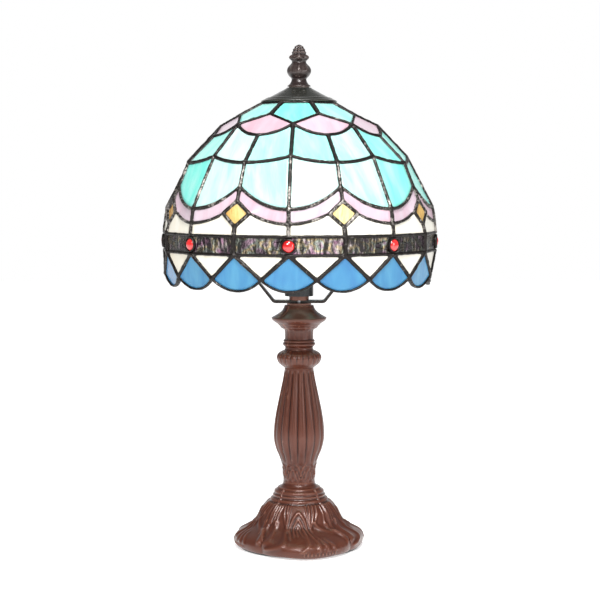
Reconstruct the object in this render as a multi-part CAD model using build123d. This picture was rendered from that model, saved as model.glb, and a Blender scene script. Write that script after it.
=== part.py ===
from build123d import *
import os
from math import atan2, cos, degrees, hypot, pi, radians, sin

# ---------------------------------------------------------------------------
# Table lamp with a leaded glass shade. Millimetres, +Z up, the front faces -Y,
# and the origin is the bottom centre of the foot.
# ---------------------------------------------------------------------------

# Casting stack, clamped along one threaded tube.
FELT_THICKNESS = 1.0
FELT_R = 44.5
FOOT_TOP_Z = 47.9
COLUMN_TOP_Z = 132.8
COLLAR_TOP_Z = 148.2
CAPITAL_TOP_Z = 179.2
SEAM = 0.1                     # gap left at each casting seam
TUBE_R = 4.8                   # threaded tube, nominal 10 mm
TUBE_BORE_R = 3.4
TUBE_BOTTOM_Z = 30.0
TUBE_TOP_Z = 194.0
TUBE_HOLE_R = 5.1
CLAMP_NUT_Z = 33.0

# Cable inlet in the back of the foot.
INLET_Z = 8.5
INLET_BORE_R = 3.4
INLET_SLEEVE_R = 4.6
INLET_HOLE_R = 4.7
INLET_START_Y = 41.5
INLET_FLANGE_Y = 49.1
INLET_END_Y = 50.6
INLET_FLANGE_R = 5.6

# Harp: one bent steel strip that carries the shade.
HARP_Z = 181.0
HARP_TOP_Z = 334.0
HARP_WIDTH = 10.0
HARP_THICKNESS = 2.0
HARP_ARM_X = 33.0
STUD_R = 3.0
STUD_BOTTOM_Z = 328.6
STUD_TOP_Z = 346.0

# Lamp holder and bulb, E14.
HOLDER_Z = 186.2
HOLDER_R = 10.6
HOLDER_JOINT_Z = 200.2
HOLDER_TOP_Z = 228.0
BULB_CAP_R = 6.9
BULB_CAP_Z = 208.5
BULB_CAP_TOP_Z = 226.5
BULB_R = 22.5
BULB_CENTRE_Z = 249.0
BULB_WALL = 0.9

# Shade: eight equal sectors of flat glass in a lead lattice. Each pair is the
# (radius, height) of the lattice's outer face. A lines run through the red
# jewels, B lines through the amber diamonds, C lines lie halfway between.
REPEATS = 8
SECTOR = 360.0 / REPEATS
TO_B = SECTOR / 2.0
TO_C = SECTOR / 4.0
FRONT = -90.0
TOP_B = (28.1, 327.4)
PEAK_B = (44.9, 318.5)
PEAK_A = (57.4, 311.2)
LEAF_B = (64.3, 303.3)
TIER_A = (79.0, 288.5)
TIER_B = (84.0, 284.0)
SWAG_B = (90.8, 267.3)
SWAG_A = (98.0, 252.0)
DIAMOND_TOP = (94.8, 257.7)
DIAMOND_SIDE = (97.1, 248.9)
DIAMOND_BOTTOM = (98.7, 239.8)
DIAMOND_HALF_ANGLE = 6.1
HEM_A = (99.6, 241.9)
BAND_TOP = (100.6, 233.3)
BAND_BOTTOM = (100.3, 220.4)
POINT_C = (98.6, 203.4)
RIM_LOW = (95.5, 195.4)
TWIST = -4.1                   # turn of the pattern about the axis, degrees
GLASS_THICKNESS = 2.6
GLASS_DEPTH = 0.1              # glass face below the lattice's outer face
GLASS_INSET = 1.65             # glass edge to the lattice line
CAME_HALF_WIDTH = 1.0
CAME_DEPTH = 2.8
NORMAL_STEP = 4.0              # half the height a dome slope is taken over
JEWEL_Z = 226.8
JEWEL_R = 4.0
BEZEL_R = 4.7
BEZEL_BORE_R = 4.15
JEWEL_CLEAR_R = 5.0
JEWEL_AXIS_R = 100.8

# Cap and finial over the shade.
CAP_RIM_R = 27.7
CAP_RIM_Z = 328.1
CAP_SHOULDER_R = 8.8
CAP_TOP_Z = 338.6
CAP_WALL = 1.0
CAP_HOLE_R = 3.3
VENT_COUNT = 12
VENT_R = 1.0
VENT_PCD_R = 14.5
REST_WASHER_Z = 336.7
FINIAL_WASHER_Z = 338.7
FINIAL_Z = 339.5
FINIAL_TIP_Z = 370.0
FINIAL_BORE_R = 3.05
FINIAL_BORE_TOP_Z = 348.5


# ---- helpers ---------------------------------------------------------------

def save(name, *solids):
    """Write one node; several solids are kept as one group."""
    shape = solids[0] if len(solids) == 1 else Compound(children=list(solids))
    export_step(shape, f"parts/{name}.step")


def turned(*edges):
    """A solid turned about Z from runs of edges drawn in the XZ plane; the last gap is closed."""
    chain = [edge for run in edges for edge in run.edges()]
    start = edges[0] @ 0
    end = edges[-1] @ 1
    if (end - start).length > 0.001:
        chain.append(Line(end, start).edge())
    return revolve(Face(Wire(chain)), Axis.Z)


def rz(r, z):
    return (r, 0, z)


def path_rz(*points):
    return Polyline(*[rz(*p) for p in points])


def curve_rz(*points):
    return Spline(*[rz(*p) for p in points])


def tube(outer, inner, low, high):
    body = Cylinder(outer, high - low, align=(Align.CENTER, Align.CENTER, Align.MIN))
    if inner > 0:
        bore = Cylinder(inner, high - low, align=(Align.CENTER, Align.CENTER, Align.MIN))
        body = body - bore
    return Pos(0, 0, low) * body


def hex_nut(across_flats, bore, low, high):
    blank = extrude(RegularPolygon(across_flats / 2, 6, major_radius=False), high - low)
    return Pos(0, 0, low) * blank - tube(bore, 0, low - 1, high + 1)


def ring_of(shape, count, start=0.0):
    """Copies of a shape spaced evenly about Z."""
    return [shape.rotate(Axis.Z, start + 360.0 * i / count) for i in range(count)]


# ---- foot, column, collar and capital --------------------------------------

def foot_casting():
    crown = path_rz((TUBE_HOLE_R, FOOT_TOP_Z), (14.0, FOOT_TOP_Z))
    bead = curve_rz((14.0, FOOT_TOP_Z), (17.6, 44.8), (19.4, 41.4))
    band = path_rz((19.4, 41.4), (20.7, 39.1))
    bell = curve_rz((20.7, 39.1), (26.6, 32.5), (30.4, 24.6), (35.0, 19.2))
    skirt = curve_rz((35.0, 19.2), (44.4, 14.6), (48.4, 9.8), (48.8, 4.0), (46.0, 1.0))
    inside = path_rz(
        (46.0, 1.0), (43.0, 1.0), (43.0, 4.2), (41.4, 8.6), (32.0, 15.4),
        (26.0, 24.0), (19.0, 34.0), (14.5, 40.0), (TUBE_HOLE_R, 40.0), (TUBE_HOLE_R, FOOT_TOP_Z),
    )
    body = turned(crown, bead, band, bell, skirt, inside)
    hole = Cylinder(INLET_HOLE_R, 20, rotation=(90, 0, 0))
    return body - Pos(0, 46, INLET_Z) * hole


def column_casting():
    low = FOOT_TOP_Z + SEAM
    base = path_rz((TUBE_HOLE_R, low), (13.0, low))
    neck = curve_rz((13.0, low), (11.9, 54.5), (12.5, 61.2))
    swell = curve_rz((12.5, 61.2), (16.2, 70.0), (18.8, 81.0), (17.0, 99.6), (13.3, 117.3), (10.7, 130.5))
    top = path_rz((10.7, 130.5), (10.7, COLUMN_TOP_Z), (TUBE_HOLE_R, COLUMN_TOP_Z))
    inside = path_rz(
        (TUBE_HOLE_R, COLUMN_TOP_Z), (TUBE_HOLE_R, 128.0), (7.4, 127.0), (13.6, 99.6),
        (15.6, 82.0), (9.2, 62.0), (8.6, 52.0), (TUBE_HOLE_R, 51.0), (TUBE_HOLE_R, low),
    )
    return turned(base, neck, swell, top, inside)


def gadroon_collar():
    low = COLUMN_TOP_Z + SEAM
    under = path_rz((TUBE_HOLE_R, low), (10.7, low))
    torus = curve_rz((10.7, low), (15.3, 137.0), (16.7, 140.8), (14.8, 144.0), (10.9, 145.8))
    top = path_rz((10.9, 145.8), (10.4, COLLAR_TOP_Z), (TUBE_HOLE_R, COLLAR_TOP_Z))
    return turned(under, torus, top)


def capital_casting():
    low = COLLAR_TOP_Z + SEAM
    start = path_rz((TUBE_HOLE_R, low), (10.5, low))
    bead = ThreePointArc(rz(10.5, low), rz(12.1, 150.5), rz(11.0, 153.0))
    neck = curve_rz((11.0, 153.0), (10.7, 157.0), (11.4, 161.5), (15.2, 165.2), (19.6, 168.2))
    cup = path_rz((19.6, 168.2), (20.3, 169.4), (19.9, 170.4))
    lid = curve_rz((19.9, 170.4), (15.0, 173.6), (11.6, 176.4), (10.8, CAPITAL_TOP_Z))
    return turned(start, bead, neck, cup, lid, path_rz((10.8, CAPITAL_TOP_Z), (TUBE_HOLE_R, CAPITAL_TOP_Z)))


def make_base():
    save("felt_pad", tube(FELT_R, 0, 0, FELT_THICKNESS))
    save("bottom_cover", tube(42.7, 0, FELT_THICKNESS, FELT_THICKNESS + 1.5))
    save("foot_casting", foot_casting())
    save("column_casting", column_casting())
    save("gadroon_collar", gadroon_collar())
    save("capital_casting", capital_casting())
    save("threaded_tube", tube(TUBE_R, TUBE_BORE_R, TUBE_BOTTOM_Z, TUBE_TOP_Z))
    save("clamp_nut", hex_nut(15, TUBE_R + 0.05, CLAMP_NUT_Z, CLAMP_NUT_Z + 5))
    save("clamp_washer", tube(12.0, TUBE_HOLE_R, CLAMP_NUT_Z + 5.1, CLAMP_NUT_Z + 6.9))
    save("capital_washer", tube(9.0, TUBE_HOLE_R, CAPITAL_TOP_Z + 0.1, HARP_Z - 0.1))


def make_inlet():
    """Insulating sleeve where the supply cable enters the foot."""
    lay = Rot(-90, 0, 0)
    sleeve = lay * tube(INLET_SLEEVE_R, 0, 0, INLET_END_Y - INLET_START_Y)
    sleeve = Pos(0, INLET_START_Y, INLET_Z) * sleeve
    flange = lay * tube(INLET_FLANGE_R, 0, 0, INLET_END_Y - INLET_FLANGE_Y)
    flange = Pos(0, INLET_FLANGE_Y, INLET_Z) * flange
    bore = Pos(0, INLET_START_Y - 1, INLET_Z) * (lay * tube(INLET_BORE_R, 0, 0, 12))
    save("cable_inlet_sleeve", sleeve + flange - bore)


# ---- harp and its fittings -------------------------------------------------

def harp_outline(inward):
    """The strip's side outline, moved inward by a distance, with rounded bends."""
    low = HARP_Z + inward
    top = HARP_TOP_Z - inward
    arm = HARP_ARM_X - inward
    foot = 19.0 - inward * 0.5
    crown = 9.0 - inward * 0.6
    left = [(-foot, low), (-arm, 199.0), (-arm, 292.0), (-crown, top)]
    corners = left + [(-x, z) for x, z in reversed(left)]
    radii = [bend - inward for bend in (4, 10, 24, 8, 8, 24, 10, 4)]
    points = [(x, z) for x, z in corners]
    return Face(FilletPolyline(*points, radius=radii, close=True).wire())


def make_harp():
    side = harp_outline(0) - harp_outline(HARP_THICKNESS)
    strip = extrude(Plane.XZ * side, HARP_WIDTH / 2, both=True)
    strip = strip - tube(TUBE_HOLE_R, 0, HARP_Z - 2, HARP_Z + 5)
    strip = strip - tube(STUD_R + 0.1, 0, HARP_TOP_Z - 6, HARP_TOP_Z + 5)
    save("harp_strip", strip)
    save("harp_locknut", tube(7.3, TUBE_R + 0.05, HARP_Z + 2.1, HOLDER_Z - 0.1))
    save("harp_stud", tube(STUD_R, 0, STUD_BOTTOM_Z, STUD_TOP_Z))
    bore = STUD_R + 0.05
    below = hex_nut(9, bore, HARP_TOP_Z - 4.6, HARP_TOP_Z - 2.1)
    above = hex_nut(9, bore, HARP_TOP_Z + 0.1, HARP_TOP_Z + 2.4)
    save("stud_nuts", below, above)


# ---- lamp holder and bulb --------------------------------------------------

def make_holder():
    lower = tube(HOLDER_R, TUBE_R + 0.05, HOLDER_Z, HOLDER_JOINT_Z)
    lower -= tube(8.6, 0, HOLDER_Z + 5, HOLDER_JOINT_Z + 1)
    save("holder_base", lower)
    save("holder_shell", tube(HOLDER_R, 8.2, HOLDER_JOINT_Z + 0.1, HOLDER_TOP_Z))
    save("holder_core", tube(8.0, 0, HOLDER_JOINT_Z + 0.1, 205.2))
    save("holder_screw_shell", tube(7.7, 7.15, 205.3, 226.0))
    tongue = Pos(1.2, 0, 205.7) * Box(7.0, 3.6, 0.8)
    save("centre_contact", tongue)
    screw = Cylinder(1.5, 2.4) - Pos(0, 0, -1.0) * Box(3.2, 0.5, 0.6)
    screws = [Pos(x, 0, 197.6) * screw for x in (-4.6, 4.6)]
    save("terminal_screws", *screws)


def bulb_envelope():
    outer = Pos(0, 0, BULB_CENTRE_Z) * Sphere(BULB_R)
    neck = tube(BULB_CAP_R, 0, BULB_CAP_TOP_Z + 0.1, BULB_CENTRE_Z)
    inner = Pos(0, 0, BULB_CENTRE_Z) * Sphere(BULB_R - BULB_WALL)
    hollow = tube(BULB_CAP_R - BULB_WALL, 0, BULB_CAP_TOP_Z + 1.0, BULB_CENTRE_Z)
    return (outer + neck) - (inner + hollow)


def make_bulb():
    save("bulb_envelope", bulb_envelope())
    save("bulb_screw_cap", tube(BULB_CAP_R, BULB_CAP_R - 0.4, BULB_CAP_Z, BULB_CAP_TOP_Z))
    save("bulb_insulator", tube(BULB_CAP_R - 0.5, 1.9, BULB_CAP_Z - 0.6, BULB_CAP_Z + 1.2))
    save("bulb_eyelet", tube(1.8, 0, BULB_CAP_Z - 1.4, BULB_CAP_Z - 0.1))
    save("bulb_stem", tube(2.4, 0, BULB_CAP_TOP_Z + 1.1, 240.0))
    lead = Cylinder(0.35, 12.4, align=(Align.CENTER, Align.CENTER, Align.MIN))
    coil = Cylinder(0.5, 13.0, rotation=(0, 90, 0))
    leads = [Pos(x, 0, 240.1) * lead for x in (-5.5, 5.5)]
    bridge = Pos(0, 0, 240.4) * Box(11.0, 0.6, 0.6)
    save("bulb_filament", (Pos(0, 0, 252.6) * coil) + leads[0] + leads[1] + bridge)


# ---- shade lattice ---------------------------------------------------------

def place(angle, corner):
    """A lattice point: its angle from the sector's A line, and its (radius, height)."""
    turn = radians(FRONT + angle + TWIST)
    return Vector(corner[0] * cos(turn), corner[0] * sin(turn), corner[1])


def swag(cusp_angle, cusp, low_angle, low, steps=3):
    """Lattice points of half a scallop, steep at its cusp and level at its lowest point."""
    points = []
    for i in range(steps + 1):
        share = i / steps
        drop = 1.0 - (1.0 - share) ** 2
        angle = cusp_angle + (low_angle - cusp_angle) * share
        flat = cos(radians(TO_C)) / cos(radians(abs(angle) % TO_B - TO_C))
        radius = (cusp[0] + (low[0] - cusp[0]) * drop) * (flat if 0 < i < steps else 1.0)
        points.append(place(angle, (radius, cusp[1] + (low[1] - cusp[1]) * drop)))
    return points


def plane_of(points):
    """Centre and outward unit normal of the flat piece that best fits an outline."""
    centre = sum(points, Vector(0, 0, 0)) * (1.0 / len(points))
    normal = Vector(0, 0, 0)
    for p, q in zip(points, points[1:] + points[:1]):
        normal = normal + (p - centre).cross(q - centre)
    normal = normal.normalized()
    return centre, normal if normal.dot(Vector(centre.X, centre.Y, 0)) > 0 else normal * -1


def inset(points, normal, distance):
    """An outline in one plane moved inward by a distance at every side."""
    area = Vector(0, 0, 0)
    for p, q in zip(points, points[1:] + points[:1]):
        area = area + (p - points[0]).cross(q - points[0])
    side = 1.0 if area.dot(normal) > 0 else -1.0
    moved = []
    for i, p in enumerate(points):
        before = (p - points[i - 1]).normalized()
        after = (points[(i + 1) % len(points)] - p).normalized()
        first = normal.cross(before) * side
        second = normal.cross(after) * side
        moved.append(p + (first + second) * (distance / (1.0 + first.dot(second))))
    return moved


def glass_piece(points):
    """One flat piece of glass inside an outline of lattice lines."""
    centre, normal = plane_of(points)
    flat = [p - normal * (p - centre).dot(normal) for p in points]
    face_points = [p - normal * GLASS_DEPTH for p in inset(flat, normal, GLASS_INSET)]
    face = Face(Wire.make_polygon(face_points, close=True))
    return Solid.extrude(face, normal * -GLASS_THICKNESS)


def sector_outlines():
    """Each kind of glass piece in one sector, as outlines of lattice points."""
    outlines = {}
    outlines["glass_crown"] = [[
        place(-TO_B, TOP_B), place(-TO_B, PEAK_B), place(0, PEAK_A),
        place(TO_B, PEAK_B), place(TO_B, TOP_B),
    ]]
    leaf_left = swag(0, PEAK_A, TO_B, LEAF_B)
    leaf_right = swag(SECTOR, PEAK_A, TO_B, LEAF_B)
    outlines["glass_leaf"] = [leaf_left + leaf_right[-2::-1] + [place(TO_B, PEAK_B)]]
    rows = ("tier_high", "tier_low", "swag", "hem", "band", "triangle", "scallop")
    for kind in ("glass_" + row for row in rows):
        outlines[kind] = []
    for s in (-1, 1):
        leaf = swag(0, PEAK_A, s * TO_B, LEAF_B)
        tier = swag(0, TIER_A, s * TO_B, TIER_B)
        fall = swag(s * TO_B, SWAG_B, 0, SWAG_A)
        side = s * (TO_B - DIAMOND_HALF_ANGLE)
        hem = swag(side, DIAMOND_SIDE, 0, HEM_A)
        outlines["glass_tier_high"].append(leaf + tier[::-1])
        outlines["glass_tier_low"].append(tier + fall)
        outlines["glass_swag"].append(fall + hem[::-1] + [place(s * TO_B, DIAMOND_TOP)])
        outlines["glass_hem"].append(hem + [
            place(0, BAND_TOP), place(s * TO_B, BAND_TOP), place(s * TO_B, DIAMOND_BOTTOM),
        ])
        outlines["glass_band"].append([
            place(0, BAND_TOP), place(0, BAND_BOTTOM),
            place(s * TO_B, BAND_BOTTOM), place(s * TO_B, BAND_TOP),
        ])
        corners = [place(0, BAND_BOTTOM), place(s * TO_C, POINT_C), place(s * TO_B, BAND_BOTTOM)]
        outlines["glass_triangle"].append(corners)
    outlines["glass_diamond"] = [[
        place(TO_B, DIAMOND_TOP), place(TO_B - DIAMOND_HALF_ANGLE, DIAMOND_SIDE),
        place(TO_B, DIAMOND_BOTTOM), place(TO_B + DIAMOND_HALF_ANGLE, DIAMOND_SIDE),
    ]]
    for middle in (0, TO_B):
        outlines["glass_scallop"].append(rim_curve(middle) + [place(middle, BAND_BOTTOM)])
    return outlines


def rim_curve(middle, steps=6):
    """The convex lower edge of one rim piece, from one C line to the next."""
    points = []
    for i in range(steps + 1):
        across = 2.0 * i / steps - 1.0
        drop = 1.0 - abs(across) ** 2.2
        radius = POINT_C[0] + (RIM_LOW[0] - POINT_C[0]) * drop
        height = POINT_C[1] + (RIM_LOW[1] - POINT_C[1]) * drop
        points.append(place(middle + TO_C * across, (radius, height)))
    return points


def jewel_axis():
    return place(0, (JEWEL_AXIS_R, JEWEL_Z))


def across_jewel(shape, inward):
    """Stand a shape made along Z on the shade's face at the front jewel."""
    spot = jewel_axis()
    turn = degrees(atan2(spot.Y, spot.X))
    reach = hypot(spot.X, spot.Y) - inward
    return (Rot(0, 0, turn) * Pos(reach, 0, JEWEL_Z) * Rot(0, 90, 0)) * shape


def make_glass():
    clear = across_jewel(Cylinder(JEWEL_CLEAR_R, 24), 0)
    for name, outlines in sector_outlines().items():
        pieces = [glass_piece(outline) for outline in outlines]
        if name == "glass_band":
            pieces = [(piece - clear).solids()[0] for piece in pieces]
        save(name, *[copy for piece in pieces for copy in ring_of(piece, REPEATS)])
    dome = Pos(0, 0, -4.6) * Sphere(6.2) & tube(JEWEL_R, 0, 0, 3)
    stone = dome + tube(JEWEL_R, 0, -1.6, 0.05)
    save("jewels", *ring_of(across_jewel(stone, 1.2).solids()[0], REPEATS))
    save("jewel_bezels", *ring_of(across_jewel(tube(BEZEL_R, BEZEL_BORE_R, -1.6, 1.6), 1.6), REPEATS))


# ---- lead cames ------------------------------------------------------------

def dome_radius(z):
    """The dome's radius at a height, straight between lattice lines and beyond its ends."""
    profile = [RIM_LOW, BAND_BOTTOM, BAND_TOP, HEM_A, SWAG_A, SWAG_B, TIER_B, LEAF_B, PEAK_A, TOP_B]
    above = next((i for i, p in enumerate(profile) if p[1] > z), len(profile) - 1)
    low = profile[max(above, 1) - 1]
    high = profile[max(above, 1)]
    return low[0] + (high[0] - low[0]) * (z - low[1]) / (high[1] - low[1])


def outward(point):
    """Outward unit normal of the dome at a lattice point."""
    rise = 2 * NORMAL_STEP
    inward = dome_radius(point.Z - NORMAL_STEP) - dome_radius(point.Z + NORMAL_STEP)
    reach = hypot(point.X, point.Y)
    flat = Vector(point.X / reach, point.Y / reach, 0)
    return (flat * rise + Vector(0, 0, inward)).normalized()


def section(point, along, widen=1.0):
    """The four corners of a came's cross-section at a lattice point."""
    normal = outward(point)
    across = normal.cross(along).normalized() * (CAME_HALF_WIDTH * widen)
    down = normal * -CAME_DEPTH
    return [point + across, point - across, point - across + down, point + across + down]


def flat_sides(first, second):
    """The eight triangles that join two cross-sections."""
    faces = []
    for i in range(4):
        j = (i + 1) % 4
        faces.append((first[i], first[j], second[j]))
        faces.append((first[i], second[j], second[i]))
    return faces


def solid_from(triangles):
    faces = [Face(Wire.make_polygon(list(t), close=True)) for t in triangles]
    return Solid(Shell(faces))


def came_ring(points):
    """A closed came through lattice points, mitred at each."""
    sections = []
    for i, p in enumerate(points):
        before = (p - points[i - 1]).normalized()
        after = (points[(i + 1) % len(points)] - p).normalized()
        along = (before + after).normalized()
        sections.append(section(p, along, min(1.0 / along.dot(before), 1.5)))
    triangles = []
    for first, second in zip(sections, sections[1:] + sections[:1]):
        triangles += flat_sides(first, second)
    return solid_from(triangles)


def came_bar(start, end, trim_start, trim_end):
    """A straight came between two lattice points, cut short of the cames it meets."""
    along = (end - start).normalized()
    first = section(start + along * trim_start, along)
    second = section(end - along * trim_end, along)
    caps = [(first[0], first[2], first[1]), (first[0], first[3], first[2])]
    caps += [(second[0], second[1], second[2]), (second[0], second[2], second[3])]
    return solid_from(flat_sides(first, second) + caps)


def around(points):
    """Repeat a sector's lattice points about the shade, in order."""
    return [p.rotate(Axis.Z, SECTOR * i) for i in range(REPEATS) for p in points]


def scalloped(cusp_angle, cusp, low, steps=3):
    """One sector of a scalloped came line, from cusp to cusp."""
    fall = swag(cusp_angle, cusp, cusp_angle + TO_B, low, steps)
    rise = swag(cusp_angle + SECTOR, cusp, cusp_angle + TO_B, low, steps)
    return fall + rise[-2:0:-1]


def make_cames():
    level = CAME_HALF_WIDTH + 0.8
    steep = 2.9
    save("came_top_ring", came_ring(around([place(TO_B, TOP_B)])))
    zigzag = [place(0, PEAK_A), place(TO_B, PEAK_B)]
    save("came_peak_line", came_ring(around(zigzag)))
    leaf_arcs = scalloped(0, PEAK_A, LEAF_B)
    arcs = []
    for first, second in zip(leaf_arcs, leaf_arcs[1:] + [place(SECTOR, PEAK_A)]):
        ends = [steep + 0.8 if abs(p.Z - PEAK_A[1]) < 0.01 else 0.03 for p in (first, second)]
        arcs += ring_of(came_bar(first, second, *ends), REPEATS)
    save("came_leaf_arcs", *arcs)
    save("came_tier_line", came_ring(around(scalloped(0, TIER_A, TIER_B))))
    save("came_swag_line", came_ring(around(scalloped(-TO_B, SWAG_B, SWAG_A))))
    save("came_band_top", came_ring(around([place(0, BAND_TOP), place(TO_B, BAND_TOP)])))
    save("came_band_bottom", came_ring(around([place(0, BAND_BOTTOM), place(TO_B, BAND_BOTTOM)])))
    rim = rim_curve(0)[:-1] + rim_curve(TO_B)[:-1]
    save("came_rim", came_ring(around(rim)))

    ribs = [
        came_bar(place(TO_B, TOP_B), place(TO_B, PEAK_B), level, steep),
        came_bar(place(0, PEAK_A), place(0, TIER_A), steep + 1.0, steep),
        came_bar(place(TO_B, LEAF_B), place(TO_B, TIER_B), level + 0.2, level),
        came_bar(place(0, TIER_A), place(0, SWAG_A), level + 0.3, level),
        came_bar(place(TO_B, TIER_B), place(TO_B, SWAG_B), level, steep),
        came_bar(place(TO_B, SWAG_B), place(TO_B, DIAMOND_TOP), level + 0.8, steep),
        came_bar(place(0, SWAG_A), place(0, HEM_A), level, level),
        came_bar(place(0, HEM_A), place(0, BAND_TOP), level, level),
        came_bar(place(TO_B, DIAMOND_BOTTOM), place(TO_B, BAND_TOP), steep, level),
        came_bar(place(TO_B, BAND_TOP), place(TO_B, BAND_BOTTOM), level, level),
    ]
    save("came_ribs", *[copy for rib in ribs for copy in ring_of(rib, REPEATS)])

    hems = []
    zigzags = []
    for s in (-1, 1):
        side = place(s * (TO_B - DIAMOND_HALF_ANGLE), DIAMOND_SIDE)
        hem = swag(s * (TO_B - DIAMOND_HALF_ANGLE), DIAMOND_SIDE, 0, HEM_A)
        for first, second in zip(hem, hem[1:]):
            at_side = (first - side).length < 0.01
            at_middle = second is hem[-1] and not at_side
            hems.append(came_bar(first, second, steep if at_side else 0.03, 0.05 if at_middle else 0.03))
        zigzags.append(came_bar(place(0, BAND_BOTTOM), place(s * TO_C, POINT_C), 3.2, 3.2))
        zigzags.append(came_bar(place(s * TO_B, BAND_BOTTOM), place(s * TO_C, POINT_C), 3.2, 3.2))
    diamond = [
        place(TO_B, DIAMOND_TOP), place(TO_B - DIAMOND_HALF_ANGLE, DIAMOND_SIDE),
        place(TO_B, DIAMOND_BOTTOM), place(TO_B + DIAMOND_HALF_ANGLE, DIAMOND_SIDE),
    ]
    save("came_hem_line", *[copy for bar in hems for copy in ring_of(bar, REPEATS)])
    save("came_diamond_frames", *ring_of(came_ring(diamond), REPEATS))
    save("came_zigzag", *[copy for bar in zigzags for copy in ring_of(bar, REPEATS)])


# ---- cap and finial --------------------------------------------------------

def make_cap():
    low = CAP_TOP_Z - CAP_WALL
    shell = turned(path_rz(
        (CAP_HOLE_R, CAP_TOP_Z), (CAP_SHOULDER_R, CAP_TOP_Z),
        (CAP_RIM_R, CAP_RIM_Z + 0.6), (CAP_RIM_R, CAP_RIM_Z),
        (CAP_RIM_R - 1.4, CAP_RIM_Z), (CAP_SHOULDER_R - 0.6, low),
        (CAP_HOLE_R, low), (CAP_HOLE_R, CAP_TOP_Z),
    ))
    for hole in ring_of(Pos(VENT_PCD_R, 0, 334) * Cylinder(VENT_R, 12), VENT_COUNT):
        shell = shell - hole
    save("vase_cap", shell)
    save("shade_support_ring", tube(22.8, 20.8, 325.2, 327.0))
    save("rest_washer", tube(7.5, CAP_HOLE_R, REST_WASHER_Z, REST_WASHER_Z + 0.8))
    save("finial_washer", tube(7.5, CAP_HOLE_R, FINIAL_WASHER_Z, FINIAL_WASHER_Z + 0.7))


def make_finial():
    foot = path_rz((0, FINIAL_Z), (8.5, FINIAL_Z))
    waist = curve_rz((8.5, FINIAL_Z), (5.9, 341.6), (5.3, 344.4), (6.6, 346.6))
    ball = ThreePointArc(rz(6.6, 346.6), rz(8.5, 350.6), rz(5.6, 355.2))
    neck = curve_rz((5.6, 355.2), (5.1, 356.8), (6.7, 359.2), (6.7, 361.0), (5.2, 362.6))
    cone = curve_rz((5.2, 362.6), (4.4, 365.2), (2.7, 368.0), (0, FINIAL_TIP_Z))
    body = turned(foot, waist, ball, neck, cone)
    save("finial", body - tube(FINIAL_BORE_R, 0, FINIAL_Z - 1, FINIAL_BORE_TOP_Z))


os.makedirs("parts", exist_ok=True)
make_base()
make_inlet()
make_harp()
make_holder()
make_bulb()
make_glass()
make_cames()
make_cap()
make_finial()
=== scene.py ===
import random
from math import cos, hypot, pi, radians, sin

import bmesh
import bpy
import numpy as np
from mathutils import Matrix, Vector, noise


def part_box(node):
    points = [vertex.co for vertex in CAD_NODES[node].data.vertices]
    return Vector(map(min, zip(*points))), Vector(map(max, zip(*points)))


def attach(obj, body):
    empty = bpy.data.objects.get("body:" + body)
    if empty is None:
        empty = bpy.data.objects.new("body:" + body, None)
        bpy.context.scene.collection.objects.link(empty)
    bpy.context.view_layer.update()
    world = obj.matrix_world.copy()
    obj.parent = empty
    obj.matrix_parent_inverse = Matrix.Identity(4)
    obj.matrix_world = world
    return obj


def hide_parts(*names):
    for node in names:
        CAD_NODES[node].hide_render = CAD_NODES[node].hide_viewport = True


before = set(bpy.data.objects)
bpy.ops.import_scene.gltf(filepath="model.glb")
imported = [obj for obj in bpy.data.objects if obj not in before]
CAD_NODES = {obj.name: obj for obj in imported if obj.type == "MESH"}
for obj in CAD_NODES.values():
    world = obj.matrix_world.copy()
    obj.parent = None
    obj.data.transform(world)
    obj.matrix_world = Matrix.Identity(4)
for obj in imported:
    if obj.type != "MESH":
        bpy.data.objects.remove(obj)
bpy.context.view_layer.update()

MM = 0.001


# ---------------------------------------------------------------------------
# The shade's pattern: eight equal sectors. Each pair is the (radius, height) in
# millimetres of the lead lattice's outer face. A lines run through the jewels,
# B lines through the diamonds, C lines halfway between.
# ---------------------------------------------------------------------------
REPEATS = 8
SECTOR = 360.0 / REPEATS
TO_B = SECTOR / 2.0
TO_C = SECTOR / 4.0
FRONT = -90.0
TOP_B = (28.1, 327.4)
PEAK_B = (44.9, 318.5)
PEAK_A = (57.4, 311.2)
LEAF_B = (64.3, 303.3)
TIER_A = (79.0, 288.5)
TIER_B = (84.0, 284.0)
SWAG_B = (90.8, 267.3)
SWAG_A = (98.0, 252.0)
DIAMOND_TOP = (94.8, 257.7)
DIAMOND_SIDE = (97.1, 248.9)
DIAMOND_BOTTOM = (98.7, 239.8)
DIAMOND_HALF_ANGLE = 6.1
HEM_A = (99.6, 241.9)
BAND_TOP = (100.6, 233.3)
BAND_BOTTOM = (100.3, 220.4)
POINT_C = (98.6, 203.4)
RIM_LOW = (95.5, 195.4)
TWIST = -4.1
GLASS_THICKNESS = 2.6
GLASS_INSET = 0.5
JEWEL_Z = 226.8
JEWEL_AXIS_R = 100.8

# Divisions of the glass sheets and solder beads, in millimetres or as a count, and a bead's shape.
SHEET_SPACING = 2.0
SHEET_RINGS = 5
BEAD_SPACING = 1.6
BEAD_SIDES = 8
BEAD_DEPTH = 4.2
BEAD_SINK = 1.1
BEAD_VOXEL = 0.63


# ---- meshes ----------------------------------------------------------------

def mesh_object(name, points, faces, material):
    """A new smooth-shaded piece from points in metres."""
    mesh = bpy.data.meshes.new(name)
    mesh.from_pydata(points, [], faces)
    mesh.validate()
    mesh.shade_smooth()
    mesh.materials.append(material)
    piece = bpy.data.objects.new(name, mesh)
    bpy.context.collection.objects.link(piece)
    return piece


def outward_faces(piece):
    """Turn every face of a closed mesh outward."""
    solid = bmesh.new()
    solid.from_mesh(piece.data)
    bmesh.ops.recalc_face_normals(solid, faces=solid.faces)
    solid.to_mesh(piece.data)
    solid.free()


def belongs(piece, body, slot, *nodes):
    """Put a piece on its body and hide the CAD nodes it stands for; slot is not used."""
    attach(piece, body)
    if nodes:
        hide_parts(*nodes)


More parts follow.
